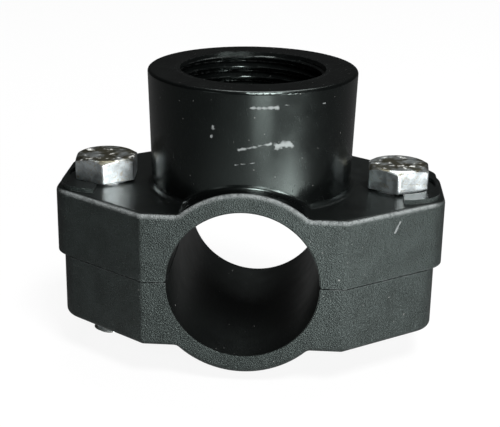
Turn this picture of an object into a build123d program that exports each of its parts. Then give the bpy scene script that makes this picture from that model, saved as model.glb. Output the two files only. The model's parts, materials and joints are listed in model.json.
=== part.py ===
from build123d import *
import os
from math import cos, radians, tan

# Two-part tapping saddle for a 32 mm water pipe, with a 1 inch female branch.
# The pipe runs along Y, the branch points up along +Z, and the two bolts stand
# either side of the pipe on X. The origin is where the pipe's and the branch's
# centre lines cross. All sizes are in millimetres.

# Pipe bore and collar
pipe_diameter = 32.0
bore_clearance = 0.10
collar_wall = 4.2
saddle_depth = 49.6
parting_gap = 0.20
parting_relief = 0.45

# Wings, the flat arms that carry the bolts
wing_rise = 15.0
wing_drop = 14.6
front_flat = 42.8
side_slant = 36.0
upper_lug_reach = 10.1
lower_lug_reach = 8.4
shoulder_radius = 7.0
corner_radius = 1.2
crease_radius = 1.6
edge_round = 1.2

# Branch boss, its rim measured up from the bore's highest line
branch_rise = 24.8
branch_base_diameter = 44.0
branch_top_diameter = 45.6
branch_root_fillet = 1.1
branch_rim_round = 0.7
thread_root_diameter = 33.25
thread_depth = 19.5
outlet_diameter = 20.0
outlet_chamfer = 1.0

# Rubber seal round the outlet, let into the upper half's bore
seal_inner_diameter = 23.0
seal_outer_diameter = 29.0
seal_thickness = 2.4
seal_clearance = 0.10

# M8 bolts and nuts
bolt_spacing = 65.0
shank_diameter = 7.90
bolt_hole_diameter = 9.0
left_shank_length = 37.4
right_shank_length = 35.0
shank_tip_chamfer = 0.8
hex_across_flats = 13.0
hex_set_turn = 30.0
hex_corner_slope = 30.0
head_height = 5.0
washer_face_diameter = 12.0
washer_face_height = 0.35
left_head_turn = 3.5
right_head_turn = -2.0
nut_height = 6.5
nut_bore_clearance = 0.05
nut_seat_drop = 10.1
nut_pocket_clearance = 0.15

# Raised lip round the outer side of each bolt head
lip_height = 1.0
lip_head_clearance = 0.9
lip_reach = 4.0
lip_start = 0.8

# How near to its nominal place an edge or corner has to be to get picked
pick_reach = 0.1

# Sizes that follow from the ones above
hex_half_angle = 180 / 6
bore_radius = pipe_diameter / 2 + bore_clearance
collar_radius = pipe_diameter / 2 + collar_wall
half_depth = saddle_depth / 2
half_gap = parting_gap / 2
bolt_x = bolt_spacing / 2
upper_width = bolt_spacing + 2 * upper_lug_reach
lower_width = bolt_spacing + 2 * lower_lug_reach
branch_height = bore_radius + branch_rise
thread_floor = branch_height - thread_depth
lip_inner_radius = hex_across_flats / 2 / cos(radians(hex_half_angle)) + lip_head_clearance
shank_radius = shank_diameter / 2
head_seat = wing_rise + washer_face_height


def plan_outline(width):
    """Wings seen from above: flat front, slanted sides and rounded ends."""
    flat_x = front_flat / 2
    end_x = width / 2
    end_y = half_depth - (end_x - flat_x) * tan(radians(side_slant))
    with BuildSketch() as outline:
        with BuildLine():
            Polyline(
                (flat_x, -half_depth), (end_x, -end_y), (end_x, end_y), (flat_x, half_depth),
                (-flat_x, half_depth), (-end_x, end_y), (-end_x, -end_y), (-flat_x, -half_depth),
                close=True,
            )
        make_face()
        by_reach = outline.vertices().group_by(lambda corner: abs(corner.X))
        fillet(by_reach[-1], radius=shoulder_radius)
        fillet(outline.vertices().filter_by(lambda corner: abs(abs(corner.X) - flat_x) < pick_reach),
               radius=corner_radius)
    return outline.sketch


def half_section(wing_height):
    """Half of the front view: one wing plate crossed by the round collar."""
    with BuildSketch() as section:
        Circle(collar_radius)
        Rectangle(upper_width, 2 * wing_height)
        creases = section.vertices().filter_by(lambda corner: abs(corner.X) < collar_radius)
        fillet(creases, radius=crease_radius)
        with Locations((0, half_gap)):
            Rectangle(upper_width, collar_radius, align=(Align.CENTER, Align.MIN),
                      mode=Mode.INTERSECT)
    return section.sketch


def seal_ring(inner_diameter, outer_diameter, thickness):
    """Ring round the branch axis, bent to the pipe and lying against the bore wall."""
    with BuildPart() as ring:
        with BuildSketch():
            Circle(outer_diameter / 2)
            Circle(inner_diameter / 2, mode=Mode.SUBTRACT)
        extrude(amount=collar_radius)
        with BuildSketch(Plane.XZ):
            Circle(bore_radius + thickness)
            Circle(bore_radius, mode=Mode.SUBTRACT)
        extrude(amount=half_depth, both=True, mode=Mode.INTERSECT)
    return ring.part


def wall_edges(part, level):
    """Outer edges above a level, without the seams that run along the pipe."""
    high = part.edges().filter_by(lambda edge: abs(edge.center().Z) > level)
    seams = high.filter_by(Axis.Y).filter_by(lambda edge: abs(edge.center().X) < front_flat / 2)
    return [edge for edge in high if edge not in seams]


def hex_prism(height, both_ends):
    """Hexagonal block on the XY plane with its corners turned off in a cone."""
    flat_radius = hex_across_flats / 2
    corner_reach = flat_radius / cos(radians(hex_half_angle))
    corner_drop = (corner_reach - flat_radius) * tan(radians(hex_corner_slope))
    turned = [(0, height), (flat_radius, height), (corner_reach, height - corner_drop)]
    turned += [(corner_reach, corner_drop), (flat_radius, 0)] if both_ends else [(corner_reach, 0)]
    with BuildPart() as prism:
        with BuildSketch():
            RegularPolygon(flat_radius, side_count=6, major_radius=False, rotation=hex_set_turn)
        extrude(amount=height)
        with BuildSketch(Plane.XZ):
            with BuildLine():
                Polyline(*turned, (0, 0), close=True)
            make_face()
        revolve(axis=Axis.Z, mode=Mode.INTERSECT)
    return prism.part


# Upper half with the branch boss
lip_limit = offset(plan_outline(upper_width), amount=-edge_round)
with BuildPart() as upper_saddle:
    with BuildSketch(Plane.XZ):
        add(half_section(wing_rise))
    extrude(amount=half_depth, both=True)
    with BuildSketch():
        add(plan_outline(upper_width))
    extrude(amount=branch_height, mode=Mode.INTERSECT)
    fillet(wall_edges(upper_saddle.part, wing_rise - pick_reach), radius=edge_round)
    with BuildSketch(Plane.XZ):
        with BuildLine():
            Polyline(
                (0, wing_rise - edge_round), (branch_base_diameter / 2, wing_rise - edge_round),
                (branch_base_diameter / 2, wing_rise), (branch_top_diameter / 2, branch_height),
                (0, branch_height), close=True,
            )
        make_face()
    revolve(axis=Axis.Z)
    new_edges = upper_saddle.edges(Select.LAST).filter_by(Axis.Y, reverse=True)
    root_edges = new_edges.filter_by_position(Axis.Z, wing_rise, collar_radius + edge_round)
    fillet(root_edges, radius=branch_root_fillet)
    rim_edges = upper_saddle.edges().filter_by_position(Axis.Z, branch_height, branch_height)
    fillet(rim_edges, radius=branch_rim_round)

    # Thread bore, with a shoulder, and the outlet down into the pipe bore
    with BuildSketch(Plane.XZ):
        with BuildLine():
            Polyline(
                (0, 0), (outlet_diameter / 2, 0),
                (outlet_diameter / 2, thread_floor - outlet_chamfer),
                (outlet_diameter / 2 + outlet_chamfer, thread_floor),
                (thread_root_diameter / 2, thread_floor), (thread_root_diameter / 2, branch_height),
                (0, branch_height), close=True,
            )
        make_face()
    revolve(axis=Axis.Z, mode=Mode.SUBTRACT)

    # Pipe bore, its relief along the parting line, and the seal's groove
    with BuildSketch(Plane.XZ):
        Circle(bore_radius)
    extrude(amount=half_depth, both=True, mode=Mode.SUBTRACT)
    bore_edges = upper_saddle.edges().filter_by(Axis.Y).filter_by(
        lambda edge: abs(edge.center().X) < collar_radius and edge.center().Z < parting_gap
    )
    chamfer(bore_edges, length=parting_relief)
    add(seal_ring(seal_inner_diameter - 2 * seal_clearance, seal_outer_diameter + 2 * seal_clearance,
                  seal_thickness + seal_clearance), mode=Mode.SUBTRACT)

    # Bolt holes and the raised lip round the outer side of each bolt head
    with Locations((-bolt_x, 0), (bolt_x, 0)):
        Cylinder(bolt_hole_diameter / 2, wing_rise, align=(Align.CENTER, Align.CENTER, Align.MIN),
                 mode=Mode.SUBTRACT)
    with BuildSketch(Plane.XY.offset(wing_rise)):
        with Locations((-bolt_x, 0), (bolt_x, 0)):
            Circle(lip_inner_radius + lip_reach)
            Circle(lip_inner_radius, mode=Mode.SUBTRACT)
        Rectangle(2 * (bolt_x + lip_start), saddle_depth, mode=Mode.SUBTRACT)
        add(lip_limit, mode=Mode.INTERSECT)
    extrude(amount=lip_height)
upper_saddle.part.label = "upper_saddle"

# Lower half, the strap that the bolts pull up against the pipe
with BuildPart() as lower_saddle:
    with BuildSketch(Plane.XZ):
        add(half_section(wing_drop).mirror(Plane.XZ))
    extrude(amount=half_depth, both=True)
    with BuildSketch(Plane.XY.offset(-collar_radius)):
        add(plan_outline(lower_width))
    extrude(amount=collar_radius, mode=Mode.INTERSECT)
    fillet(wall_edges(lower_saddle.part, wing_drop - pick_reach), radius=edge_round)
    with BuildSketch(Plane.XZ):
        Circle(bore_radius)
    extrude(amount=half_depth, both=True, mode=Mode.SUBTRACT)

    # Bolt holes, opening into hexagonal pockets that keep the nuts from turning
    with BuildSketch(Plane.XY.offset(-collar_radius)):
        with Locations((-bolt_x, 0), (bolt_x, 0)):
            Circle(bolt_hole_diameter / 2)
    extrude(amount=collar_radius, mode=Mode.SUBTRACT)
    with BuildSketch(Plane.XY.offset(-collar_radius)):
        with Locations((-bolt_x, 0), (bolt_x, 0)):
            RegularPolygon(hex_across_flats / 2 + nut_pocket_clearance, side_count=6,
                           major_radius=False, rotation=hex_set_turn)
    extrude(amount=collar_radius - nut_seat_drop, mode=Mode.SUBTRACT)
lower_saddle.part.label = "lower_saddle"

# Rubber seal
with BuildPart() as outlet_seal:
    add(seal_ring(seal_inner_diameter, seal_outer_diameter, seal_thickness))
outlet_seal.part.label = "outlet_seal"


def hex_bolt(centre_x, shank_length, head_turn):
    """Bolt with its head on top of the wing and its shank pointing down."""
    with BuildPart() as bolt:
        with Locations(Location((centre_x, 0, head_seat), (0, 0, head_turn))):
            add(hex_prism(head_height, both_ends=False))
        with BuildSketch(Plane.XY.offset(wing_rise)):
            with Locations((centre_x, 0)):
                Circle(washer_face_diameter / 2)
        extrude(amount=washer_face_height)
        with BuildSketch(Plane.XY.offset(wing_rise)):
            with Locations((centre_x, 0)):
                Circle(shank_radius)
        extrude(amount=-shank_length)
        tip_edges = bolt.edges().sort_by(Axis.Z)[0]
        chamfer(tip_edges, length=shank_tip_chamfer)
    return bolt


def hex_nut(centre_x):
    """Nut in the lower half's pocket, hard up against the pocket's floor."""
    with BuildPart() as nut:
        with Locations((centre_x, 0, -nut_seat_drop - nut_height)):
            add(hex_prism(nut_height, both_ends=True))
        with BuildSketch(Plane.XY.offset(-nut_seat_drop - nut_height)):
            with Locations((centre_x, 0)):
                Circle(shank_radius + nut_bore_clearance)
        extrude(amount=nut_height, mode=Mode.SUBTRACT)
    return nut


# Bolts and nuts, left and right
bolt_left = hex_bolt(-bolt_x, left_shank_length, left_head_turn)
bolt_left.part.label = "bolt_left"
bolt_right = hex_bolt(bolt_x, right_shank_length, right_head_turn)
bolt_right.part.label = "bolt_right"
nut_left = hex_nut(-bolt_x)
nut_left.part.label = "nut_left"
nut_right = hex_nut(bolt_x)
nut_right.part.label = "nut_right"

os.makedirs("parts", exist_ok=True)
export_step(upper_saddle.part, "parts/upper_saddle.step")
export_step(lower_saddle.part, "parts/lower_saddle.step")
export_step(outlet_seal.part, "parts/outlet_seal.step")
export_step(bolt_left.part, "parts/bolt_left.step")
export_step(bolt_right.part, "parts/bolt_right.step")
export_step(nut_left.part, "parts/nut_left.step")
export_step(nut_right.part, "parts/nut_right.step")
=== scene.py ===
# %% [markdown]
# # A tapping saddle in black plastic
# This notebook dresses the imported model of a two-part pipe saddle. The pipe runs along Y,
# the branch points up, and everything is in metres. The construction already stands in the
# right place, so these cells only add threads, finishes, light and a camera.

# %% Load the frame
import json

import bmesh
import bpy
import numpy as np
from mathutils import Matrix, Vector


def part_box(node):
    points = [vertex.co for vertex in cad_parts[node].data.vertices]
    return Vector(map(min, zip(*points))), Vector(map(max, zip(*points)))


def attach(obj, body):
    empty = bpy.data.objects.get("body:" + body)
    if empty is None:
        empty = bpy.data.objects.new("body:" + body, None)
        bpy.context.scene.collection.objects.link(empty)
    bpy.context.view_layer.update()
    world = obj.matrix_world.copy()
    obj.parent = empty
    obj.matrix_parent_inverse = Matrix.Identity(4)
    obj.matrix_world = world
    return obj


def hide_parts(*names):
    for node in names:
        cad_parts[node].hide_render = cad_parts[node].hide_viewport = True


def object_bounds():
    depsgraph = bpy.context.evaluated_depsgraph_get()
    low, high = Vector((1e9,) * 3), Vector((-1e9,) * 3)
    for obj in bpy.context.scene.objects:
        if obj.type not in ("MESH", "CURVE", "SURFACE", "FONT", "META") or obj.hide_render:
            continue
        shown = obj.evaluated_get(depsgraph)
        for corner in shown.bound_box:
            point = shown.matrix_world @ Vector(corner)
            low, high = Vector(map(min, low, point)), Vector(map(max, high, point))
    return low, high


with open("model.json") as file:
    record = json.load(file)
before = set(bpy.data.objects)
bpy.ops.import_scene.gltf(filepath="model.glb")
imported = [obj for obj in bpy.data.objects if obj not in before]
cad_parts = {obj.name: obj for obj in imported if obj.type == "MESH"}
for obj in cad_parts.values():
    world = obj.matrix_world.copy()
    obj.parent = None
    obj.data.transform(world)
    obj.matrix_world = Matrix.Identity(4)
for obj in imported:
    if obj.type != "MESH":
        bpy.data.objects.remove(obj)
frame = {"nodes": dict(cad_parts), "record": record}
cad_box = [list(corner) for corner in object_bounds()]
MM = 0.001
LOWEST = cad_box[0][2]
print("nodes:", sorted(frame["nodes"]))

# %% [markdown]
# ## Camera
# The camera stands a little to the right of the pipe's axis and looks down on the saddle by
# about twenty degrees, from close enough for some perspective. It is placed by its distance,
# its two angles and the point it looks at, because those are what one sets in a studio.
# A very small roll is the tilt of a hand-held camera.

# %% Camera
CAMERA_AZIMUTH = np.radians(3.45)
CAMERA_ELEVATION = np.radians(19.48)
CAMERA_ROLL = np.radians(0.94)
CAMERA_DISTANCE = 269.2 * MM
CAMERA_TARGET = Vector((-0.15, 0.0, 7.3)) * MM
CAMERA_NEAREST = 10 * MM
SENSOR_WIDTH = 36.0
LENS = 85.9


def direction(azimuth, elevation):
    """Unit vector away from the saddle, azimuth from the front round to the right, in radians."""
    return Vector((
        np.sin(azimuth) * np.cos(elevation),
        -np.cos(azimuth) * np.cos(elevation),
        np.sin(elevation),
    ))


def aimed(place, back, roll=0.0):
    """Matrix of something at place that looks against the vector back, rolled about it."""
    turn = back.to_track_quat("Z", "Y").to_matrix().to_4x4() @ Matrix.Rotation(roll, 4, "Z")
    return Matrix.Translation(place) @ turn


def place_camera():
    """Camera at its distance from the target, looking back along its two angles."""
    back = direction(CAMERA_AZIMUTH, CAMERA_ELEVATION)
    data = bpy.data.cameras.new("camera")
    data.sensor_width = SENSOR_WIDTH
    data.lens = LENS
    data.clip_start = CAMERA_NEAREST
    made = bpy.data.objects.new("camera", data)
    bpy.context.collection.objects.link(made)
    made.matrix_world = aimed(CAMERA_TARGET + back * CAMERA_DISTANCE, back, CAMERA_ROLL)
    bpy.context.scene.camera = made
    return made


camera = place_camera()
bpy.context.scene.view_settings.view_transform = "Standard"
print("camera at", [round(v, 4) for v in camera.matrix_world.translation])

# %% [markdown]
# ## Node helpers
# Building a material by hand means adding dozens of nodes and wires. These helpers do one
# step each: they add a node, set its inputs by value or by wire, and give back its output,
# so that a finish reads like a formula.

# %% Node helpers
def wire(tree, socket, value):
    """Links value to the socket if it is an output, and sets it if it is a number or a colour."""
    if isinstance(value, bpy.types.NodeSocket):
        tree.links.new(value, socket)
    else:
        socket.default_value = value


def add(tree, kind, inputs=(), **settings):
    """Node of that kind, with settings, and inputs given as {socket: value or output socket}."""
    made = tree.nodes.new(kind)
    for key, value in settings.items():
        setattr(made, key, value)
    for key, value in dict(inputs).items():
        wire(tree, made.inputs[key], value)
    return made


def math(tree, operation, a, b=0.0, clamp=False):
    """Output of one Math node."""
    return add(tree, "ShaderNodeMath", {0: a, 1: b}, operation=operation, use_clamp=clamp).outputs[0]


def vector(tree, operation, a, b=(0, 0, 0), out=0):
    """Output of one Vector Math node."""
    return add(tree, "ShaderNodeVectorMath", {0: a, 1: b}, operation=operation).outputs[out]


def along_axis(tree, value, axis):
    """One coordinate of a vector, by its axis."""
    return add(tree, "ShaderNodeSeparateXYZ", {"Vector": value}).outputs[axis]


def ramp(tree, value, low, high, to_low=0.0, to_high=1.0):
    """Smooth step of value from low..high to to_low..to_high."""
    inputs = {"Value": value, "From Min": low, "From Max": high, "To Min": to_low, "To Max": to_high}
    made = add(tree, "ShaderNodeMapRange", inputs, interpolation_type="SMOOTHSTEP")
    return made.outputs["Result"]


def noise(tree, place, scale, detail, roughness=0.5, distortion=0.0):
    """Value of a noise texture, about 0.5 on average."""
    inputs = {"Vector": place, "Scale": scale, "Detail": detail}
    inputs.update({"Roughness": roughness, "Distortion": distortion})
    return add(tree, "ShaderNodeTexNoise", inputs).outputs["Fac"]


def blend_colours(tree, factor, a, b):
    """Colour a where factor is 0 and b where it is 1."""
    made = add(tree, "ShaderNodeMix", data_type="RGBA")
    sockets = {socket.identifier: socket for socket in made.inputs}
    wire(tree, sockets["Factor_Float"], factor)
    wire(tree, sockets["A_Color"], a)
    wire(tree, sockets["B_Color"], b)
    return next(socket for socket in made.outputs if socket.identifier == "Result_Color")


print("node helpers:", [helper.__name__ for helper in (add, math, vector, ramp, noise, blend_colours)])

# %% [markdown]
# ## Groups and coordinates
# The finishes are built from small reusable node groups. Each group works out one effect
# (grain, worn edges, a scuff, dust) from the piece's own coordinates, in millimetres, and
# gives back a mask or a height. The materials then decide what each effect does to colour,
# roughness and bump.

# %% Groups and coordinates
PLACE = ("Vector", (0, 0, 0))
METRES_TO_MM = (1000.0, 1000.0, 1000.0)


def group(name, inputs, outputs):
    """Empty node group with named sockets: inputs {name: (type, default)}, outputs {name: type}."""
    tree = bpy.data.node_groups.new(name, "ShaderNodeTree")
    for key, (kind, default) in inputs.items():
        made = tree.interface.new_socket(key, in_out="INPUT", socket_type="NodeSocket" + kind)
        made.default_value = default
    for key, kind in outputs.items():
        tree.interface.new_socket(key, in_out="OUTPUT", socket_type="NodeSocket" + kind)
    return tree, tree.nodes.new("NodeGroupInput").outputs, tree.nodes.new("NodeGroupOutput").inputs


def use(tree, group_tree, inputs=()):
    """Instance of a node group; returns its outputs."""
    made = tree.nodes.new("ShaderNodeGroup")
    made.node_tree = group_tree
    for key, value in dict(inputs).items():
        wire(tree, made.inputs[key], value)
    return made.outputs


def object_mm(tree):
    """The piece's own coordinates in millimetres."""
    coordinates = tree.nodes.new("ShaderNodeTexCoord").outputs["Object"]
    return vector(tree, "MULTIPLY", coordinates, METRES_TO_MM)


def new_material(name):
    """Empty node material with its output node."""
    material = bpy.data.materials.new(name)
    material.use_nodes = True
    tree = material.node_tree
    tree.nodes.clear()
    output = tree.nodes.new("ShaderNodeOutputMaterial")
    return material, tree, output


print("group helpers:", [helper.__name__ for helper in (group, use, object_mm, new_material)])

# %% [markdown]
# ## Floor
# The floor is a plain sheet of white paper just under the lowest bolt end, and it takes the
# saddle's shadow. Upright gloss seen from above mirrors the paper in front of it, so what
# lies there decides how black plastic looks. The paper could be evenly bright, but then
# every side of the saddle would look grey. Mirrored rays see a pool of light in front and a
# little to the right, which fades to dark behind and to the left, so the far sides stay
# deep black. The camera itself sees even white paper.

# %% Floor
FLOOR_DROP = 0.1 * MM
FLOOR_SIZE = 6.0
PAPER = 0.80
GLOW_SHARE = 0.90
POOL_CENTRE = (30 * MM, -110 * MM, LOWEST)
POOL_REACH = 111 * MM
POOL_REST = 0.12


def paper_material():
    """White paper; its pool is exp(-(distance / reach) squared), and never below its rest."""
    material, tree, output = new_material("floor_paper")
    path = tree.nodes.new("ShaderNodeLightPath").outputs
    place = tree.nodes.new("ShaderNodeTexCoord").outputs["Object"]
    # Painted light: for mirrored rays the paper glows in a painted pool of light, and for bounced
    # light its colour is painted darker away from the pool.
    away = vector(tree, "DISTANCE", place, POOL_CENTRE, out="Value")
    spread = math(tree, "POWER", math(tree, "DIVIDE", away, POOL_REACH), 2.0)
    pool = math(tree, "EXPONENT", math(tree, "MULTIPLY", spread, -1.0))
    pool = math(tree, "MAXIMUM", pool, POOL_REST)
    mirrored = math(tree, "MAXIMUM", path["Is Glossy Ray"], path["Is Transmission Ray"])
    strength = math(tree, "MAXIMUM", path["Is Camera Ray"], math(tree, "MULTIPLY", mirrored, pool))
    glow = add(tree, "ShaderNodeEmission", {"Strength": strength})
    shade = math(tree, "MULTIPLY", math(tree, "MAXIMUM", path["Is Camera Ray"], pool), PAPER)
    paper = add(tree, "ShaderNodeBsdfDiffuse", {"Color": shade})
    seen = math(tree, "MAXIMUM", path["Is Camera Ray"], mirrored)
    share = math(tree, "MULTIPLY", seen, GLOW_SHARE)
    mixed = add(tree, "ShaderNodeMixShader", {"Fac": share, 1: paper.outputs[0], 2: glow.outputs[0]})
    tree.links.new(mixed.outputs[0], output.inputs["Surface"])
    return material


def make_floor():
    """Flat square centred under the saddle, z constant over both parameters."""
    low = LOWEST - FLOOR_DROP
    half = FLOOR_SIZE / 2
    mesh = bpy.data.meshes.new("floor")
    corners = [(-half, -half, low), (half, -half, low), (half, half, low), (-half, half, low)]
    mesh.from_pydata(corners, [], [(0, 1, 2, 3)])
    mesh.materials.append(paper_material())
    made = bpy.data.objects.new("floor", mesh)
    bpy.context.collection.objects.link(made)
    return made


floor = make_floor()
print("floor at z =", round(LOWEST - FLOOR_DROP, 5))

# %% [markdown]
# ## Soft boxes
# Small products are lit by lamps behind diffusing cloth. A tall one stands in front, one
# hangs above and in front and draws the bright lines on rounded edges, one lights the right
# side, and a weak one keeps the left side from going flat. One behind and above lights the
# back. A little light from all round stands for the walls of the room.

# %% Soft boxes
LAMP_DISTANCE = 1.0
ROOM_LIGHT = 0.025


def lamp(name, width, height, watts, matrix):
    """Rectangular area lamp, placed and turned by its matrix."""
    data = bpy.data.lights.new(name, "AREA")
    data.shape = "RECTANGLE"
    data.size = width
    data.size_y = height
    data.energy = watts
    made = bpy.data.objects.new(name, data)
    made.matrix_world = matrix
    bpy.context.collection.objects.link(made)
    return made


def soft_box(name, azimuth, elevation, width, height, watts):
    """Lamp aimed at the saddle from azimuth and elevation in degrees."""
    back = direction(np.radians(azimuth), np.radians(elevation))
    return lamp(name, width, height, watts, aimed(back * LAMP_DISTANCE, back))


soft_boxes = (
    soft_box("key_light", azimuth=20, elevation=8, width=0.22, height=0.50, watts=4.5),
    soft_box("top_light", azimuth=30, elevation=58, width=0.30, height=0.30, watts=11.5),
    soft_box("side_light", azimuth=46, elevation=9, width=0.24, height=0.30, watts=8.5),
    soft_box("left_light", azimuth=-40, elevation=9, width=0.30, height=0.30, watts=0.3),
    soft_box("back_light", azimuth=168, elevation=66, width=0.60, height=0.40, watts=5.0),
)
world = bpy.data.worlds.new("studio_air")
world.use_nodes = True
world.node_tree.nodes["Background"].inputs["Color"].default_value = (1, 1, 1, 1)
world.node_tree.nodes["Background"].inputs["Strength"].default_value = ROOM_LIGHT
bpy.context.scene.world = world
print("soft boxes:", [made.name for made in soft_boxes])

# %% [markdown]
# ## Light cards
# The soft upright highlight on the branch is the mirror image of something bright that lies
# low in front. In a studio that is a white card laid on the table. Here it is a flat lamp on
# the paper that shines up and that the camera can't see, because its place, size and power
# can then be set each by itself. A second one lies closer, off to the right.

# %% Light cards
CARD_LIFT = 1 * MM


def light_card(name, azimuth, shift, near, far, width, watts):
    """Lamp lying on the paper from near to far in front, shining up, shifted to the right."""
    turn = np.radians(azimuth)
    ahead = Vector((np.sin(turn), -np.cos(turn), 0))
    place = ahead * (near + far) / 2 + Vector((shift, 0, LOWEST + CARD_LIFT))
    facing_up = Matrix.Rotation(turn, 4, "Z") @ Matrix.Rotation(np.pi, 4, "X")
    made = lamp(name, width, far - near, watts, Matrix.Translation(place) @ facing_up)
    made.visible_camera = False
    return made


front_card = light_card(
    "front_card", azimuth=14, shift=0.0, near=185 * MM, far=340 * MM, width=72 * MM, watts=0.22
)
near_card = light_card(
    "near_card", azimuth=0, shift=60 * MM, near=50 * MM, far=104 * MM, width=80 * MM, watts=0.13
)
print("light cards:", front_card.name, near_card.name)

# %% [markdown]
# ## A skin from two parameters
# Every new piece here is a closed surface r(turn, run): a profile that changes a little as it
# goes round an axis. One helper turns such a grid of points into a mesh. Where the profile
# starts and ends on the axis, the row shrinks to one pole point and a fan of triangles closes
# it, so no seam or hole is left.

# %% Skin helper
def skin(name, points, poles):
    """Mesh from points[run, turn], where each face joins a point to the next turn and the next run.

    Turns always close. Runs close too, unless the first and last are poles with a fan each.
    """
    turns = points.shape[1]
    column = np.arange(turns)
    beyond = (column + 1) % turns
    if poles:
        rings = points[1:-1]
        vertices = np.vstack([points[0, :1], rings.reshape(-1, 3), points[-1, :1]])
        rows = np.arange(len(rings) - 1)[:, None] * turns + 1
        last = len(vertices) - 1
        first_fan = np.stack([0 * column, beyond + 1, column + 1], axis=-1)
        last_fan = np.stack([0 * column, column - turns, beyond - turns], axis=-1) + last
        fans = first_fan.tolist() + last_fan.tolist()
    else:
        vertices = points.reshape(-1, 3)
        rows = np.arange(len(points))[:, None] * turns
        fans = []
    a = rows + column
    b = rows + beyond
    c = (b + turns) % len(vertices)
    d = (a + turns) % len(vertices)
    quads = np.stack([a, b, c, d], axis=-1).reshape(-1, 4)
    mesh = bpy.data.meshes.new(name)
    mesh.from_pydata(vertices.tolist(), [], fans + quads.tolist())
    mesh.update()
    mesh.validate()
    piece = bpy.data.objects.new(name, mesh)
    bpy.context.collection.objects.link(piece)
    return piece


print("skin helper:", skin.__name__)

# %% [markdown]
# ## Faces outwards, and shading
# Which way a face looks depends on the order of its corners, and a grid can come out inside
# out. Its volume tells: it is negative if the faces look inwards, and then all are turned
# round. Flanks and cones stay crisp under smooth shading if edges above an angle are sharp.

# %% Faces outwards, and shading
def outward(piece):
    """Turns every face outwards, by the sign of the mesh's volume."""
    work = bmesh.new()
    work.from_mesh(piece.data)
    bmesh.ops.recalc_face_normals(work, faces=work.faces)
    if work.calc_volume(signed=True) < 0:
        bmesh.ops.reverse_faces(work, faces=work.faces)
    volume = work.calc_volume(signed=True)
    work.to_mesh(piece.data)
    work.free()
    print(piece.name, "faces", len(piece.data.polygons), "volume mm3", round(volume / MM**3, 1))
    return piece


def shade_by_angle(piece, degrees):
    """Smooth shading, kept sharp where two faces meet at more than this angle."""
    piece.data.shade_smooth()
    piece.data.set_sharp_from_angle(angle=np.radians(degrees))


print("surface helpers:", outward.__name__, shade_by_angle.__name__)

# %% [markdown]
# ## Branch thread
# A female pipe thread is a ridge that winds down the inside of the branch, eleven turns to the
# inch. It could be a swept triangle, but a winding sweep leaves a seam at each end. Instead
# the whole threaded lining is one surface: its radius is a rounded wave of the height, and
# the wave's phase moves by one pitch for each turn. The wave fades out at the shoulder, and
# a plain lead-in opens at the mouth, as in a moulded thread.

# %% Branch thread
mounts = {mount["name"]: mount for mount in frame["record"]["mounts"]}
THREAD_ROOT = mounts["branch_thread"]["dims"]["r_mm"] * MM
THREAD_LENGTH = mounts["branch_thread"]["dims"]["length_mm"] * MM
THREAD_TOP = mounts["branch_rim"]["pos_m"][2]
PIPE_PITCH = 25.4 / 11 * MM
PIPE_THREAD_DEPTH = 1.45 * MM
PIPE_SHARPNESS = 1.15
LEAD_IN = 0.9 * MM
LEAD_IN_STEP = 1.05 * MM
LEAD_IN_SLOPE = 0.35
LEAD_IN_MARGIN = 0.3 * MM
LINING_GAP = 0.02 * MM
BACK_GAP = 0.01 * MM
LINING_COLUMNS = 168
LINING_ROWS = 150
LINING_SHARP_ANGLE = 40


def ridge(phase, sharpness):
    """Rounded thread wave, 0 at the root and 1 at the crest, once per unit of phase."""
    triangle = np.abs(2 * (phase - np.floor(phase)) - 1)
    return np.clip(0.5 + (triangle - 0.5) * sharpness, 0, 1)


def branch_thread():
    """Radius = root - depth x wave(height / pitch - turn), closed by a plain outer wall."""
    turn = np.arange(LINING_COLUMNS) / LINING_COLUMNS
    height = np.linspace(THREAD_TOP - LINING_GAP, THREAD_TOP - THREAD_LENGTH + LINING_GAP, LINING_ROWS)
    drop = (THREAD_TOP - height)[:, None]
    wave = ridge(height[:, None] / PIPE_PITCH - turn[None, :], PIPE_SHARPNESS)
    fade = np.clip((THREAD_LENGTH - drop) / PIPE_PITCH, 0, 1)
    inner = THREAD_ROOT - LINING_GAP - PIPE_THREAD_DEPTH * wave * fade
    mouth = THREAD_ROOT - LEAD_IN_STEP + np.clip(LEAD_IN - drop, 0, LEAD_IN) * LEAD_IN_SLOPE
    inner = np.where(drop < LEAD_IN, np.minimum(mouth, THREAD_ROOT - LEAD_IN_MARGIN), inner)
    outer = np.full((2, LINING_COLUMNS), THREAD_ROOT - BACK_GAP)
    radius = np.vstack([inner, outer])
    level = np.concatenate([height, [height[-1], height[0]]])[:, None] * np.ones(LINING_COLUMNS)
    angle = 2 * np.pi * turn[None, :]
    points = np.stack([radius * np.cos(angle), radius * np.sin(angle), level], axis=-1)
    piece = outward(skin("branch_thread_lining", points, poles=False))
    shade_by_angle(piece, LINING_SHARP_ANGLE)
    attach(piece, "saddle")
    return piece


thread_lining = branch_thread()

# %% [markdown]
# ## Bolt sizes
# The bolts are M8, 13 mm across the flats, with a coarse thread of 1.25 mm pitch. Their size
# and place repeat the construction's, and only what the construction leaves out is added:
# the thread, the rounded corners and the small steps of a forged head.

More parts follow.
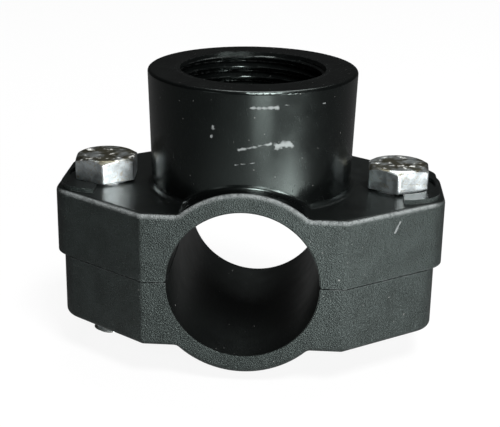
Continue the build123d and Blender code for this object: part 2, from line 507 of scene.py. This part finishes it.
# %% Bolt sizes
WING_TOP = 15.0 * MM
WASHER_FACE = 0.35 * MM
WASHER_RADIUS = 6.0 * MM
HEAD_SEAT = WING_TOP + WASHER_FACE
HEAD_HEIGHT = 5.0 * MM
HEAD_TOP = HEAD_SEAT + HEAD_HEIGHT
HEAD_FLAT = 6.5 * MM
SIXTH = np.pi / 3
HALF_SIDE = np.tan(SIXTH / 2)
CORNER_ROUND = 0.10 * MM
TOP_MIDDLE_RADIUS = 5.0 * MM
TOP_FLAT_RADIUS = 6.05 * MM
CONE_START_RADIUS = 6.2 * MM
CONE_START_DROP = 0.06 * MM
CONE_DEPTH = 0.75 * MM
CONE_SLOPE = np.tan(np.radians(30))
UNDER_EDGE_RISE = 0.15 * MM
UNDER_EDGE_INSET = 0.12 * MM
SHANK_RADIUS = 3.95 * MM
BOLT_PITCH = 1.25 * MM
BOLT_THREAD_DEPTH = 0.62 * MM
BOLT_SHARPNESS = 1.3
PLAIN_SHANK = 2 * BOLT_PITCH
PLAIN_MARGIN = 0.1 * MM
THREAD_START = WING_TOP - PLAIN_SHANK - PLAIN_MARGIN
TIP_RADIUS = 2.9 * MM
TIP_CONE_RADIUS = 3.2 * MM
TIP_MARGIN = 0.05 * MM
HEAD_TURN = {"bolt_left": np.radians(3.5), "bolt_right": np.radians(-2.0)}
BOLT_BODY = {"bolt_left": "left_bolt", "bolt_right": "right_bolt"}
print("head from", round(WING_TOP / MM, 2), "to", round(HEAD_TOP / MM, 2), "mm")

# %% [markdown]
# ## Bolt profiles
# A bolt's head is forged with six sides, its top corners are turned off in a cone, and its
# shank is rolled with a metric thread. The head could be a cylinder with its sides cut away,
# but all of it can also be said as radii round one axis: the head's radius is that of a
# hexagon, held down by the cone's, and the shank's is the same thread wave as above.

# %% Bolt profiles
CONE_ROWS = 9
ROWS_PER_TURN = 9


def hexagon_radius(angle):
    """Distance to a hexagon's side at each angle: flat / cos(angle from the side's middle)."""
    from_middle = (angle + SIXTH / 2) % SIXTH - SIXTH / 2
    side = HEAD_FLAT / np.cos(from_middle)
    return np.minimum(side, HEAD_FLAT / np.cos(SIXTH / 2) - CORNER_ROUND)


def head_profile(hexagon):
    """Radii and levels from the head's pole down to the plain shank.

    The cone's radius grows with its drop divided by its slope, and the hexagon cuts it off.
    """
    ring = np.zeros_like(hexagon)
    drop = np.linspace(0, CONE_DEPTH, CONE_ROWS)
    cone = np.minimum(hexagon, (CONE_START_RADIUS + drop / CONE_SLOPE)[:, None])
    radii = np.vstack([
        ring, ring + TOP_MIDDLE_RADIUS, ring + TOP_FLAT_RADIUS, cone,
        hexagon, hexagon - UNDER_EDGE_INSET, ring + WASHER_RADIUS, ring + WASHER_RADIUS,
        ring + SHANK_RADIUS, ring + SHANK_RADIUS,
    ])
    under = [HEAD_SEAT + UNDER_EDGE_RISE, HEAD_SEAT, HEAD_SEAT]
    shank = [WING_TOP, WING_TOP, WING_TOP - PLAIN_SHANK]
    levels = np.concatenate([[HEAD_TOP] * 3, HEAD_TOP - CONE_START_DROP - drop, under + shank])
    return radii, levels


def shank_profile(angle, tip):
    """Radii and levels of the thread: crest - depth x (1 - wave(level / pitch - turn)), to the tip."""
    levels = np.arange(THREAD_START, tip + TIP_MARGIN, -BOLT_PITCH / ROWS_PER_TURN)
    level = levels[:, None]
    wave = ridge(level / BOLT_PITCH - angle / (2 * np.pi), BOLT_SHARPNESS)
    crest = np.minimum(SHANK_RADIUS, TIP_CONE_RADIUS + (level - tip))
    fade = np.minimum(1.0, (THREAD_START - level) / BOLT_PITCH)
    thread = crest - BOLT_THREAD_DEPTH * (1 - wave) * fade
    radii = np.vstack([thread, 0 * angle + TIP_RADIUS, 0 * angle])
    return radii, np.concatenate([levels, [tip, tip]])


print("bolt profiles:", head_profile.__name__, shank_profile.__name__)

# %% [markdown]
# ## Hex bolts
# Head and shank are laid end to end as one closed surface, so the bolt has no seam under its
# head. Even columns of points would cut the head's corners off, so extra columns stand close
# to each corner, which stays crisp with a very small round. The left bolt is a little longer
# than the right one, and each head stopped at its own turn when it was tightened.

# %% Hex bolts
SIDE_COLUMNS = 24
COLUMN_CROWDING = 2.4
BOLT_SHARP_ANGLE = 28


def bolt(node):
    """Closed surface: each row is its radius x (cos, sin) of the angle, at the row's level."""
    low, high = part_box(node)
    middle = (low + high) / 2
    across = np.tanh(np.linspace(-COLUMN_CROWDING, COLUMN_CROWDING, SIDE_COLUMNS + 1))
    side = np.arctan(across[:-1] / np.tanh(COLUMN_CROWDING) * HALF_SIDE)
    angle = (side + np.arange(6)[:, None] * SIXTH).ravel()
    head_radii, head_levels = head_profile(hexagon_radius(angle))
    shank_radii, shank_levels = shank_profile(angle, low[2])
    radii = np.vstack([head_radii, shank_radii])
    levels = np.concatenate([head_levels, shank_levels])[:, None] + 0 * radii
    turned = angle + HEAD_TURN[node]
    points = np.stack([middle[0] + radii * np.cos(turned), radii * np.sin(turned), levels], axis=-1)
    piece = outward(skin(node + "_threaded", points, poles=True))
    shade_by_angle(piece, BOLT_SHARP_ANGLE)
    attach(piece, BOLT_BODY[node])
    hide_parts(node)
    return piece


bolts = [bolt(node) for node in ("bolt_left", "bolt_right")]

# %% [markdown]
# ## Sandy grain
# The saddle is moulded in polypropylene. The mould's side walls were spark-eroded, which
# leaves a fine sandy texture that hides sink marks, while the parts that face up were
# polished. The grain could be sculpted, but it is finer than any mesh here, so it is a
# height for the bump: a noise of about a third of a millimetre with pits in it. Its tint
# also takes a little of a slow unevenness.

# %% Sandy grain
def sandy_grain():
    """Height and tint of spark-eroded mould texture; Size is its grain in millimetres."""
    sockets = {"Place": PLACE, "Size": ("Float", 0.3)}
    tree, inputs, outputs = group("sandy_grain", sockets, {"Height": "Float", "Tint": "Float"})
    scale = math(tree, "DIVIDE", 1.0, inputs["Size"])
    fine = noise(tree, inputs["Place"], scale=scale, detail=3.0, roughness=0.6)
    pit_scale = math(tree, "MULTIPLY", scale, 1.4)
    pits = add(tree, "ShaderNodeTexVoronoi", {"Vector": inputs["Place"], "Scale": pit_scale})
    slow = noise(tree, inputs["Place"], scale=0.25, detail=2.0)
    pit_height = math(tree, "MULTIPLY", pits.outputs["Distance"], 0.5)
    tree.links.new(math(tree, "ADD", fine, pit_height), outputs["Height"])
    tint = math(tree, "ADD", math(tree, "MULTIPLY", fine, 0.7), math(tree, "MULTIPLY", slow, 0.3))
    tree.links.new(ramp(tree, tint, low=0.3, high=0.7), outputs["Tint"])
    return tree


SANDY_GRAIN = sandy_grain()
print("group", SANDY_GRAIN.name)

# %% [markdown]
# ## Worn edges
# Edges rub in the bag and in the tool box, so they are paler than the faces. A painted mask
# would have to follow every edge. A bevelled copy of the normal differs from the true
# normal only close to an edge, so that difference, broken up by noise, finds them all.

# %% Worn edges
def worn_edges():
    """Mask of edges within Width millimetres, broken up by noise."""
    sockets = {"Place": PLACE, "Width": ("Float", 0.4)}
    tree, inputs, outputs = group("worn_edges", sockets, {"Mask": "Float"})
    radius = math(tree, "MULTIPLY", inputs["Width"], MM)
    soft = add(tree, "ShaderNodeBevel", {"Radius": radius}, samples=4).outputs["Normal"]
    true = tree.nodes.new("ShaderNodeNewGeometry").outputs["Normal"]
    bend = math(tree, "SUBTRACT", 1.0, vector(tree, "DOT_PRODUCT", soft, true, out="Value"))
    near = ramp(tree, bend, low=0.01, high=0.12)
    patchy = ramp(tree, noise(tree, inputs["Place"], scale=1.1, detail=5.0), low=0.42, high=0.62)
    tree.links.new(math(tree, "MULTIPLY", near, patchy, clamp=True), outputs["Mask"])
    return tree


WORN_EDGES = worn_edges()
print("group", WORN_EDGES.name)

# %% [markdown]
# ## Scuffs
# A scuff is a short pale stroke where something dragged over the plastic. Its mask falls off
# with the distance from a line between two points, and noise frays its edge, so each one is
# placed by where it starts, where it ends and how wide it is.

# %% Scuffs
def scuff():
    """Mask of one frayed stroke: 1 - distance to the line From-To / frayed Width, in millimetres."""
    sockets = {"Place": PLACE, "From": PLACE, "To": ("Vector", (1, 0, 0)), "Width": ("Float", 0.3)}
    tree, inputs, outputs = group("scuff_stroke", sockets, {"Mask": "Float"})
    run = vector(tree, "SUBTRACT", inputs["To"], inputs["From"])
    reach = vector(tree, "SUBTRACT", inputs["Place"], inputs["From"])
    along = vector(tree, "DOT_PRODUCT", reach, run, out="Value")
    run_squared = vector(tree, "DOT_PRODUCT", run, run, out="Value")
    share = math(tree, "DIVIDE", along, run_squared, clamp=True)
    nearest = add(tree, "ShaderNodeVectorMath", {0: run, "Scale": share}, operation="SCALE").outputs[0]
    away = vector(tree, "LENGTH", vector(tree, "SUBTRACT", reach, nearest), out="Value")
    fray = noise(tree, inputs["Place"], scale=1.3, detail=4.0)
    frayed = ramp(tree, fray, low=0.30, high=0.65, to_low=0.45, to_high=1.5)
    edge = math(tree, "MULTIPLY", inputs["Width"], frayed)
    inside = math(tree, "SUBTRACT", 1.0, math(tree, "DIVIDE", away, edge), clamp=True)
    mask = math(tree, "MULTIPLY", ramp(tree, inside, low=0.0, high=0.8), 0.85)
    tree.links.new(mask, outputs["Mask"])
    return tree


SCUFF = scuff()
print("group", SCUFF.name)

# %% [markdown]
# ## Scratches and dust
# Fine scratches are too many to draw one by one. A noise stretched along one direction only
# shows at its peaks, which gives hairlines, and a second one is turned the other way. Dust is
# the few brightest cells of a cell noise, in two sizes.

# %% Scratches and dust
# Each set of hairlines: its turn in radians, and the noise's stretch along the three axes.
HAIRLINES = ((0.5, (9.0, 0.35, 0.5)), (-0.8, (0.3, 7.0, 6.0)))
HAIRLINE_AXIS = (0.3, 0.2, 1.0)
# Each size of dust: cells per millimetre, and a speck's radius as a share of its cell.
SPECKS = ((0.55, 0.10), (1.3, 0.12))
SPECK_CHOSEN = 0.95


def fine_scratches():
    """Mask of thin hairlines in two directions, denser where a slow noise says so."""
    tree, inputs, outputs = group("fine_scratches", {"Place": PLACE}, {"Mask": "Float"})
    masks = []
    for turn, stretch in HAIRLINES:
        turning = {"Vector": inputs["Place"], "Angle": turn, "Axis": HAIRLINE_AXIS}
        rotated = add(tree, "ShaderNodeVectorRotate", turning).outputs[0]
        lines = noise(tree, vector(tree, "MULTIPLY", rotated, stretch), scale=1.0, detail=1.0)
        masks.append(ramp(tree, lines, low=0.70, high=0.76))
    where = ramp(tree, noise(tree, inputs["Place"], scale=0.12, detail=1.0), low=0.4, high=0.6)
    both = math(tree, "MAXIMUM", *masks)
    tree.links.new(math(tree, "MULTIPLY", both, where), outputs["Mask"])
    return tree


def dust():
    """Mask of sparse specks: cells closer than their size, where the cell's own value is high."""
    tree, inputs, outputs = group("dust_specks", {"Place": PLACE}, {"Mask": "Float"})
    specks = []
    for scale, size in SPECKS:
        cells = add(tree, "ShaderNodeTexVoronoi", {"Vector": inputs["Place"], "Scale": scale})
        near = math(tree, "LESS_THAN", cells.outputs["Distance"], size)
        value = add(tree, "ShaderNodeSeparateColor", {"Color": cells.outputs["Color"]}).outputs[0]
        chosen = math(tree, "GREATER_THAN", value, SPECK_CHOSEN)
        specks.append(math(tree, "MULTIPLY", near, chosen))
    tree.links.new(math(tree, "MAXIMUM", *specks), outputs["Mask"])
    return tree


FINE_SCRATCHES = fine_scratches()
DUST = dust()
print("groups", FINE_SCRATCHES.name, DUST.name)

# %% [markdown]
# ## Polished faces
# The toolmaker polished the mould where the branch, the wing tops and the bore are formed.
# Those faces could be picked one by one, but they are just as well known by their place and
# by which way they look: near the pipe's axis, or high up and either near the branch's axis
# or not facing the front or the back.

# %% Polished faces
# Distances from the branch's and from the pipe's axis over which the polish ends, in millimetres.
BRANCH_EDGE = {"low": 22.9, "high": 23.5}
BORE_EDGE = {"low": 16.15, "high": 16.3}


def polished_faces():
    """Mask of the bore, and above Level of the branch and of what doesn't face front or back."""
    sockets = {"Place": PLACE, "Level": ("Float", 14.6)}
    tree, inputs, outputs = group("polished_faces", sockets, {"Mask": "Float"})
    height = along_axis(tree, inputs["Place"], "Z")
    above = ramp(tree, math(tree, "SUBTRACT", height, inputs["Level"]), low=-0.3, high=0.3)
    normal = tree.nodes.new("ShaderNodeTexCoord").outputs["Normal"]
    forward = math(tree, "ABSOLUTE", along_axis(tree, normal, "Y"))
    upward = ramp(tree, forward, low=0.25, high=0.55, to_low=1.0, to_high=0.0)
    from_branch = vector(tree, "MULTIPLY", inputs["Place"], (1, 1, 0))
    from_branch = vector(tree, "LENGTH", from_branch, out="Value")
    branch = ramp(tree, from_branch, **BRANCH_EDGE, to_low=1.0, to_high=0.0)
    from_pipe = vector(tree, "MULTIPLY", inputs["Place"], (1, 0, 1))
    from_pipe = vector(tree, "LENGTH", from_pipe, out="Value")
    bore = ramp(tree, from_pipe, **BORE_EDGE, to_low=1.0, to_high=0.0)
    top = math(tree, "MULTIPLY", above, math(tree, "MAXIMUM", upward, branch))
    tree.links.new(math(tree, "MAXIMUM", top, bore), outputs["Mask"])
    return tree


POLISHED = polished_faces()
print("group", POLISHED.name)

# %% [markdown]
# ## Painted highlight on the roundings
# The rounded edges over the front and the back catch the top light in a bright line, and
# that line is painted on the sandy grain as a pale colour, a painted highlight. A rounding is
# where the normal looks half up, and a simple bump of the normal's upward part is highest exactly
# there.

# %% Painted highlight on the roundings
def painted_rounding_highlight():
    """Mask 4 x up squared x (1 - up squared), for the upward part of the normal."""
    tree, inputs, outputs = group("painted_rounding_highlight", {"Place": PLACE}, {"Mask": "Float"})
    normal = tree.nodes.new("ShaderNodeTexCoord").outputs["Normal"]
    up = math(tree, "MAXIMUM", along_axis(tree, normal, "Z"), 0.0)
    level = vector(tree, "NORMALIZE", vector(tree, "MULTIPLY", normal, (1, 1, 0)))
    along_pipe = math(tree, "ABSOLUTE", along_axis(tree, level, "Y"))
    end_face = ramp(tree, along_pipe, low=0.50, high=0.85, to_low=0.25, to_high=1.0)
    square = math(tree, "MULTIPLY", up, up)
    bump = math(tree, "MULTIPLY", square, math(tree, "SUBTRACT", 1.0, square))
    half_up = math(tree, "MULTIPLY", bump, 4.0)
    patches = noise(tree, inputs["Place"], scale=1.4, detail=5.0)
    patchy = ramp(tree, patches, low=0.3, high=0.6, to_low=0.45, to_high=1.0)
    # Painted highlight: a pale line where the rounding looks half up and catches the top light.
    rubbed = math(tree, "MULTIPLY", half_up, patchy)
    tree.links.new(math(tree, "MULTIPLY", rubbed, end_face), outputs["Mask"])
    return tree


PAINTED_ROUNDING_HIGHLIGHT = painted_rounding_highlight()
print("group", PAINTED_ROUNDING_HIGHLIGHT.name)

# %% [markdown]
# ## Marks and colours of the plastic
# Each scuff has a start, an end and a width in millimetres: most are on the front of the
# branch, where a wrench slips, and one is on the slanted side of the right wing. The resin
# itself is almost black. What is pale on it is grain, scuffing and dust, and the painted
# highlight along the rounded edges, which takes the scuffs' pale colour. Colours are linear,
# grain sizes are in millimetres.

# %% Marks and colours of the plastic
WING_TOP_MM = WING_TOP / MM
SCUFF_STROKES = (
    ((1.1, -22.7, 37.6), (6.3, -21.8, 37.6), 0.42),
    ((-1.3, -22.4, 28.8), (5.1, -21.9, 30.1), 0.34),
    ((6.4, -21.5, 29.6), (9.2, -20.4, 29.8), 0.85),
    ((-6.6, -21.6, 33.0), (-6.7, -21.6, 33.4), 0.40),
    ((-7.0, -21.4, 31.0), (-7.0, -21.4, 31.2), 0.34),
    ((7.8, -21.3, 38.1), (15.8, -16.3, 37.5), 0.16),
    ((-2.0, -22.2, 25.5), (2.0, -22.2, 26.1), 0.13),
    ((32.4, -16.8, 12.6), (31.4, -17.5, 10.4), 0.30),
)
RESIN = (0.0010, 0.0012, 0.0012, 1)
RESIN_IOR = 1.49
# A green cast of the light, painted into the resin's reflections as a specular tint.
LIGHT_CAST_SPECULAR_TINT = (0.84, 1.0, 0.95, 1)
GRAIN_PALE = (0.020, 0.025, 0.024, 1)
GRAIN_SIZE = 0.34
GRAIN_DEPTH = 0.26 * MM
# Pale of scuffs and worn edges, also painted as the highlight on the roundings.
SCUFF_AND_HIGHLIGHT_PALE = (0.17, 0.18, 0.18, 1)
DUST_PALE = (0.22, 0.22, 0.21, 1)
print("scuffs:", len(SCUFF_STROKES))

# %% [markdown]
# ## Wear, painted highlight and roughness of the plastic
# Specular light does nearly all the work on black plastic, so a clear difference in
# roughness tells gloss and grain apart. The wing tops are a little duller than the branch,
# because things are put down on them. Wear and the painted highlight on the roundings could
# be one painted mask, but as the largest of three masks each kind can be set by itself.

# %% Wear, painted highlight and roughness of the plastic
GLOSS_DULLS = WING_TOP_MM + 0.4
GLOSS_CLEARS = WING_TOP_MM + 1.6


def plastic_wear_and_highlight(tree, place, sandy, strokes):
    """Largest of three masks: worn edges, a painted highlight on the roundings and strokes of
    scuffing.
    """
    # The rounding mask is a painted highlight, a pale line on the half-up roundings.
    rounding = math(tree, "MULTIPLY", sandy, use(tree, PAINTED_ROUNDING_HIGHLIGHT, {"Place": place})["Mask"])
    edges = use(tree, WORN_EDGES, {"Place": place, "Width": 0.35})["Mask"]
    edge_share = math(tree, "ADD", math(tree, "MULTIPLY", sandy, 0.27), 0.08)
    wear_and_highlight = math(tree, "MAXIMUM", math(tree, "MULTIPLY", edges, edge_share), rounding)
    for start, end, width in strokes:
        sockets = {"Place": place, "From": start, "To": end, "Width": width}
        wear_and_highlight = math(tree, "MAXIMUM", wear_and_highlight, use(tree, SCUFF, sockets)["Mask"])
    return wear_and_highlight


def plastic_roughness(tree, place, sandy, wear_and_highlight, grain_roughness):
    """Cloudy gloss that is duller low down, or the grain's roughness, plus hairlines, wear and the
    painted highlight.
    """
    cloud = noise(tree, place, scale=0.30, detail=6.0)
    height = along_axis(tree, place, "Z")
    dulled = ramp(tree, height, GLOSS_DULLS, GLOSS_CLEARS, to_low=0.27, to_high=0.16)
    gloss = math(tree, "ADD", math(tree, "MULTIPLY", cloud, 0.16), dulled)
    either = {0: sandy, 2: gloss, 3: grain_roughness}
    rough = add(tree, "ShaderNodeMix", either, data_type="FLOAT").outputs[0]
    hairlines = use(tree, FINE_SCRATCHES, {"Place": place})["Mask"]
    rough = math(tree, "ADD", rough, math(tree, "MULTIPLY", hairlines, 0.15))
    return math(tree, "ADD", rough, math(tree, "MULTIPLY", wear_and_highlight, 0.25), clamp=True)


print("plastic helpers:", plastic_wear_and_highlight.__name__, plastic_roughness.__name__)

# %% [markdown]
# ## Moulded plastic
# One resin, two finishes. The polished finish covers the branch, the wing tops with their
# rounded edges, and the bore. Elsewhere the grain takes over. The same function makes the
# plastic of both halves, because they come from one machine; of the lower half, only the
# bore is polished, so its level lies above all of it.

# %% Moulded plastic
POLISH_OVERLAP = 0.5
ABOVE_ALL = 100.0


def moulded_plastic(name, polished_from, strokes, grain_roughness):
    """Black resin: polished above polished_from (mm), sandy below, with strokes of scuffing, worn
    edges and a painted highlight on the roundings.
    """
    material, tree, output = new_material(name)
    place = object_mm(tree)
    polished = use(tree, POLISHED, {"Place": place, "Level": polished_from})["Mask"]
    sandy = math(tree, "SUBTRACT", 1.0, polished)
    grain = use(tree, SANDY_GRAIN, {"Place": place, "Size": GRAIN_SIZE})
    specks = use(tree, DUST, {"Place": place})["Mask"]
    wear_and_highlight = plastic_wear_and_highlight(tree, place, sandy, strokes)
    colour = blend_colours(tree, math(tree, "MULTIPLY", sandy, grain["Tint"]), RESIN, GRAIN_PALE)
    # Scuffs, worn edges and the painted highlight on the roundings share one pale colour.
    colour = blend_colours(tree, wear_and_highlight, colour, SCUFF_AND_HIGHLIGHT_PALE)
    colour = blend_colours(tree, math(tree, "MULTIPLY", specks, 0.6), colour, DUST_PALE)
    rough = plastic_roughness(tree, place, sandy, wear_and_highlight, grain_roughness)
    relief = math(tree, "MULTIPLY", grain["Height"], math(tree, "ADD", sandy, 0.02))
    pushed = {"Height": relief, "Strength": 1.0, "Distance": GRAIN_DEPTH}
    bump = add(tree, "ShaderNodeBump", pushed).outputs["Normal"]
    looks = {"Base Color": colour, "Roughness": rough, "Normal": bump}
    looks.update({"IOR": RESIN_IOR, "Specular Tint": LIGHT_CAST_SPECULAR_TINT})
    shader = add(tree, "ShaderNodeBsdfPrincipled", looks)
    tree.links.new(shader.outputs[0], output.inputs["Surface"])
    return material


UPPER_PLASTIC = moulded_plastic(
    "upper_plastic_moulded", WING_TOP_MM - POLISH_OVERLAP, SCUFF_STROKES, grain_roughness=0.44
)
LOWER_PLASTIC = moulded_plastic("lower_plastic_moulded", ABOVE_ALL, (), grain_roughness=0.42)
print("plastic:", UPPER_PLASTIC.name, LOWER_PLASTIC.name)

# %% [markdown]
# ## Rubber
# The sealing ring is moulded rubber with a dull skin, a little talc in its pores and a soft
# bloom, so its colour drifts slowly. The plastic's grain serves again, only finer, because a
# rubber mould is blasted in the same way.

# %% Rubber
RUBBER = (0.010, 0.010, 0.010, 1)
RUBBER_BLOOM = (0.030, 0.030, 0.029, 1)
TALC = (0.09, 0.09, 0.085, 1)


def moulded_rubber():
    """Dull black rubber with talc in its pores."""
    material, tree, output = new_material("seal_rubber_moulded")
    place = object_mm(tree)
    grain = use(tree, SANDY_GRAIN, {"Place": place, "Size": 0.18})
    bloom = noise(tree, place, scale=0.35, detail=5.0)
    colour = blend_colours(tree, ramp(tree, bloom, low=0.35, high=0.75), RUBBER, RUBBER_BLOOM)
    colour = blend_colours(tree, math(tree, "MULTIPLY", grain["Tint"], 0.25), colour, TALC)
    rough = math(tree, "ADD", math(tree, "MULTIPLY", bloom, 0.2), 0.5)
    pushed = {"Height": grain["Height"], "Strength": 0.3, "Distance": 0.04 * MM}
    bump = add(tree, "ShaderNodeBump", pushed).outputs["Normal"]
    looks = {"Base Color": colour, "Roughness": rough, "Normal": bump}
    shader = add(tree, "ShaderNodeBsdfPrincipled", looks)
    tree.links.new(shader.outputs[0], output.inputs["Surface"])
    return material


SEAL_RUBBER = moulded_rubber()
print("rubber:", SEAL_RUBBER.name)

# %% [markdown]
# ## Painted reflections on zinc
# Two kinds of patches are painted on the zinc's upper faces: a wide brown patch, a painted
# reflection of the brownish surroundings, and small white spots, painted highlights. Both
# are slow noises of different size, and the material decides where they may show.

# %% Painted reflections on zinc
def painted_zinc_reflections():
    """Two masks: a wide painted brown reflection, and smaller spots of painted white highlight."""
    sockets = {"Reflection_Mask": "Float", "Highlight_Mask": "Float"}
    tree, inputs, outputs = group("painted_zinc_reflections", {"Place": PLACE}, sockets)
    wide = noise(tree, inputs["Place"], scale=0.30, detail=4.0)
    spots = noise(tree, inputs["Place"], scale=0.62, detail=5.0)
    brown_reflection = ramp(tree, wide, low=0.38, high=0.56, to_low=0.35, to_high=0.95)
    tree.links.new(brown_reflection, outputs["Reflection_Mask"])
    tree.links.new(ramp(tree, spots, low=0.56, high=0.72), outputs["Highlight_Mask"])
    return tree


PAINTED_ZINC_REFLECTIONS = painted_zinc_reflections()
print("group", PAINTED_ZINC_REFLECTIONS.name)

# %% [markdown]
# ## Zinc plate
# The bolts and nuts are steel with a thin bright zinc plate. Zinc is a little cloudy: a
# yellowish film of passivation drifts over it, rubbed corners are brighter, and forging
# leaves slightly uneven flanks. It could be plain polished metal, but then it would look
# like chrome. The painted brown reflection and the painted white highlights only lie on
# faces that look up.

# %% Zinc plate
ZINC_FILM = (0.50, 0.42, 0.26, 1)
ZINC_RUBBED = (0.90, 0.90, 0.88, 1)
# Painted light: a brown reflection and white highlights painted on faces that look up.
BROWN_REFLECTION_PAINT = (0.11, 0.10, 0.06, 1)
WHITE_HIGHLIGHT_PAINT = (0.80, 0.81, 0.78, 1)
DULL_SHARE = 0.70


def zinc_colour(tree, place, base, rub, cloud):
    """Cloudy zinc under a yellow film, paler where the edges are rubbed."""
    dull = tuple(DULL_SHARE * channel for channel in base) + (1,)
    film = noise(tree, place, scale=1.1, detail=3.0, distortion=1.0)
    filmed = ramp(tree, film, low=0.52, high=0.75, to_low=0.0, to_high=0.5)
    edges = use(tree, WORN_EDGES, {"Place": place, "Width": 0.25})["Mask"]
    colour = blend_colours(tree, ramp(tree, cloud, low=0.35, high=0.6), dull, base + (1,))
    colour = blend_colours(tree, filmed, colour, ZINC_FILM)
    return blend_colours(tree, math(tree, "MULTIPLY", edges, rub), colour, ZINC_RUBBED)


def zinc_plate(name, base, rub):
    """Bright zinc: cloudy tint, uneven roughness, brighter rubbed edges, a painted brown reflection
    and painted white highlights on top, and small dents.
    """
    material, tree, output = new_material(name)
    place = object_mm(tree)
    cloud = noise(tree, place, scale=0.45, detail=6.0, roughness=0.6)
    colour = zinc_colour(tree, place, base, rub, cloud)
    normal = tree.nodes.new("ShaderNodeTexCoord").outputs["Normal"]
    top = ramp(tree, along_axis(tree, normal, "Z"), low=0.6, high=0.9)
    # Painted reflection and painted highlights, on upward faces only; bloom here is the painted white
    # highlight.
    painted_reflections = use(tree, PAINTED_ZINC_REFLECTIONS, {"Place": place})
    brown_reflection = math(tree, "MULTIPLY", top, painted_reflections["Reflection_Mask"])
    bloom = math(tree, "MULTIPLY", top, painted_reflections["Highlight_Mask"])
    colour = blend_colours(tree, brown_reflection, colour, BROWN_REFLECTION_PAINT)
    colour = blend_colours(tree, bloom, colour, WHITE_HIGHLIGHT_PAINT)
    metal = math(tree, "SUBTRACT", 1.0, math(tree, "MULTIPLY", bloom, 0.9))
    hairlines = use(tree, FINE_SCRATCHES, {"Place": place})["Mask"]
    rough = math(tree, "ADD", math(tree, "MULTIPLY", cloud, 0.20), 0.26)
    rough = math(tree, "ADD", rough, math(tree, "MULTIPLY", hairlines, 0.12), clamp=True)
    dents = noise(tree, place, scale=1.6, detail=5.0, roughness=0.55)
    pushed = {"Height": dents, "Strength": 0.35, "Distance": 0.05 * MM}
    bump = add(tree, "ShaderNodeBump", pushed).outputs["Normal"]
    looks = {"Base Color": colour, "Roughness": rough, "Normal": bump, "Metallic": metal}
    shader = add(tree, "ShaderNodeBsdfPrincipled", looks)
    tree.links.new(shader.outputs[0], output.inputs["Surface"])
    return material


BOLT_ZINC = zinc_plate("bolt_zinc_plate", (0.82, 0.89, 0.91), rub=0.6)
NUT_ZINC = zinc_plate("nut_zinc_plate", (0.70, 0.69, 0.64), rub=0.5)
print("zinc:", BOLT_ZINC.name, NUT_ZINC.name)

# %% [markdown]
# ## Putting finishes on
# The nodes of the construction keep their shape and only take the new material. The thread
# lining is part of the upper moulding, so it has the same plastic.

# %% Putting finishes on
FINISH = {
    "upper_saddle": UPPER_PLASTIC,
    "lower_saddle": LOWER_PLASTIC,
    "outlet_seal": SEAL_RUBBER,
    "nut_left": NUT_ZINC,
    "nut_right": NUT_ZINC,
}
for node_name, finish in FINISH.items():
    for material_slot in frame["nodes"][node_name].material_slots:
        material_slot.material = finish
thread_lining.data.materials.append(UPPER_PLASTIC)
for piece in bolts:
    piece.data.materials.append(BOLT_ZINC)
print("finished:", sorted(FINISH), thread_lining.name, [piece.name for piece in bolts])

print("cad box", cad_box)
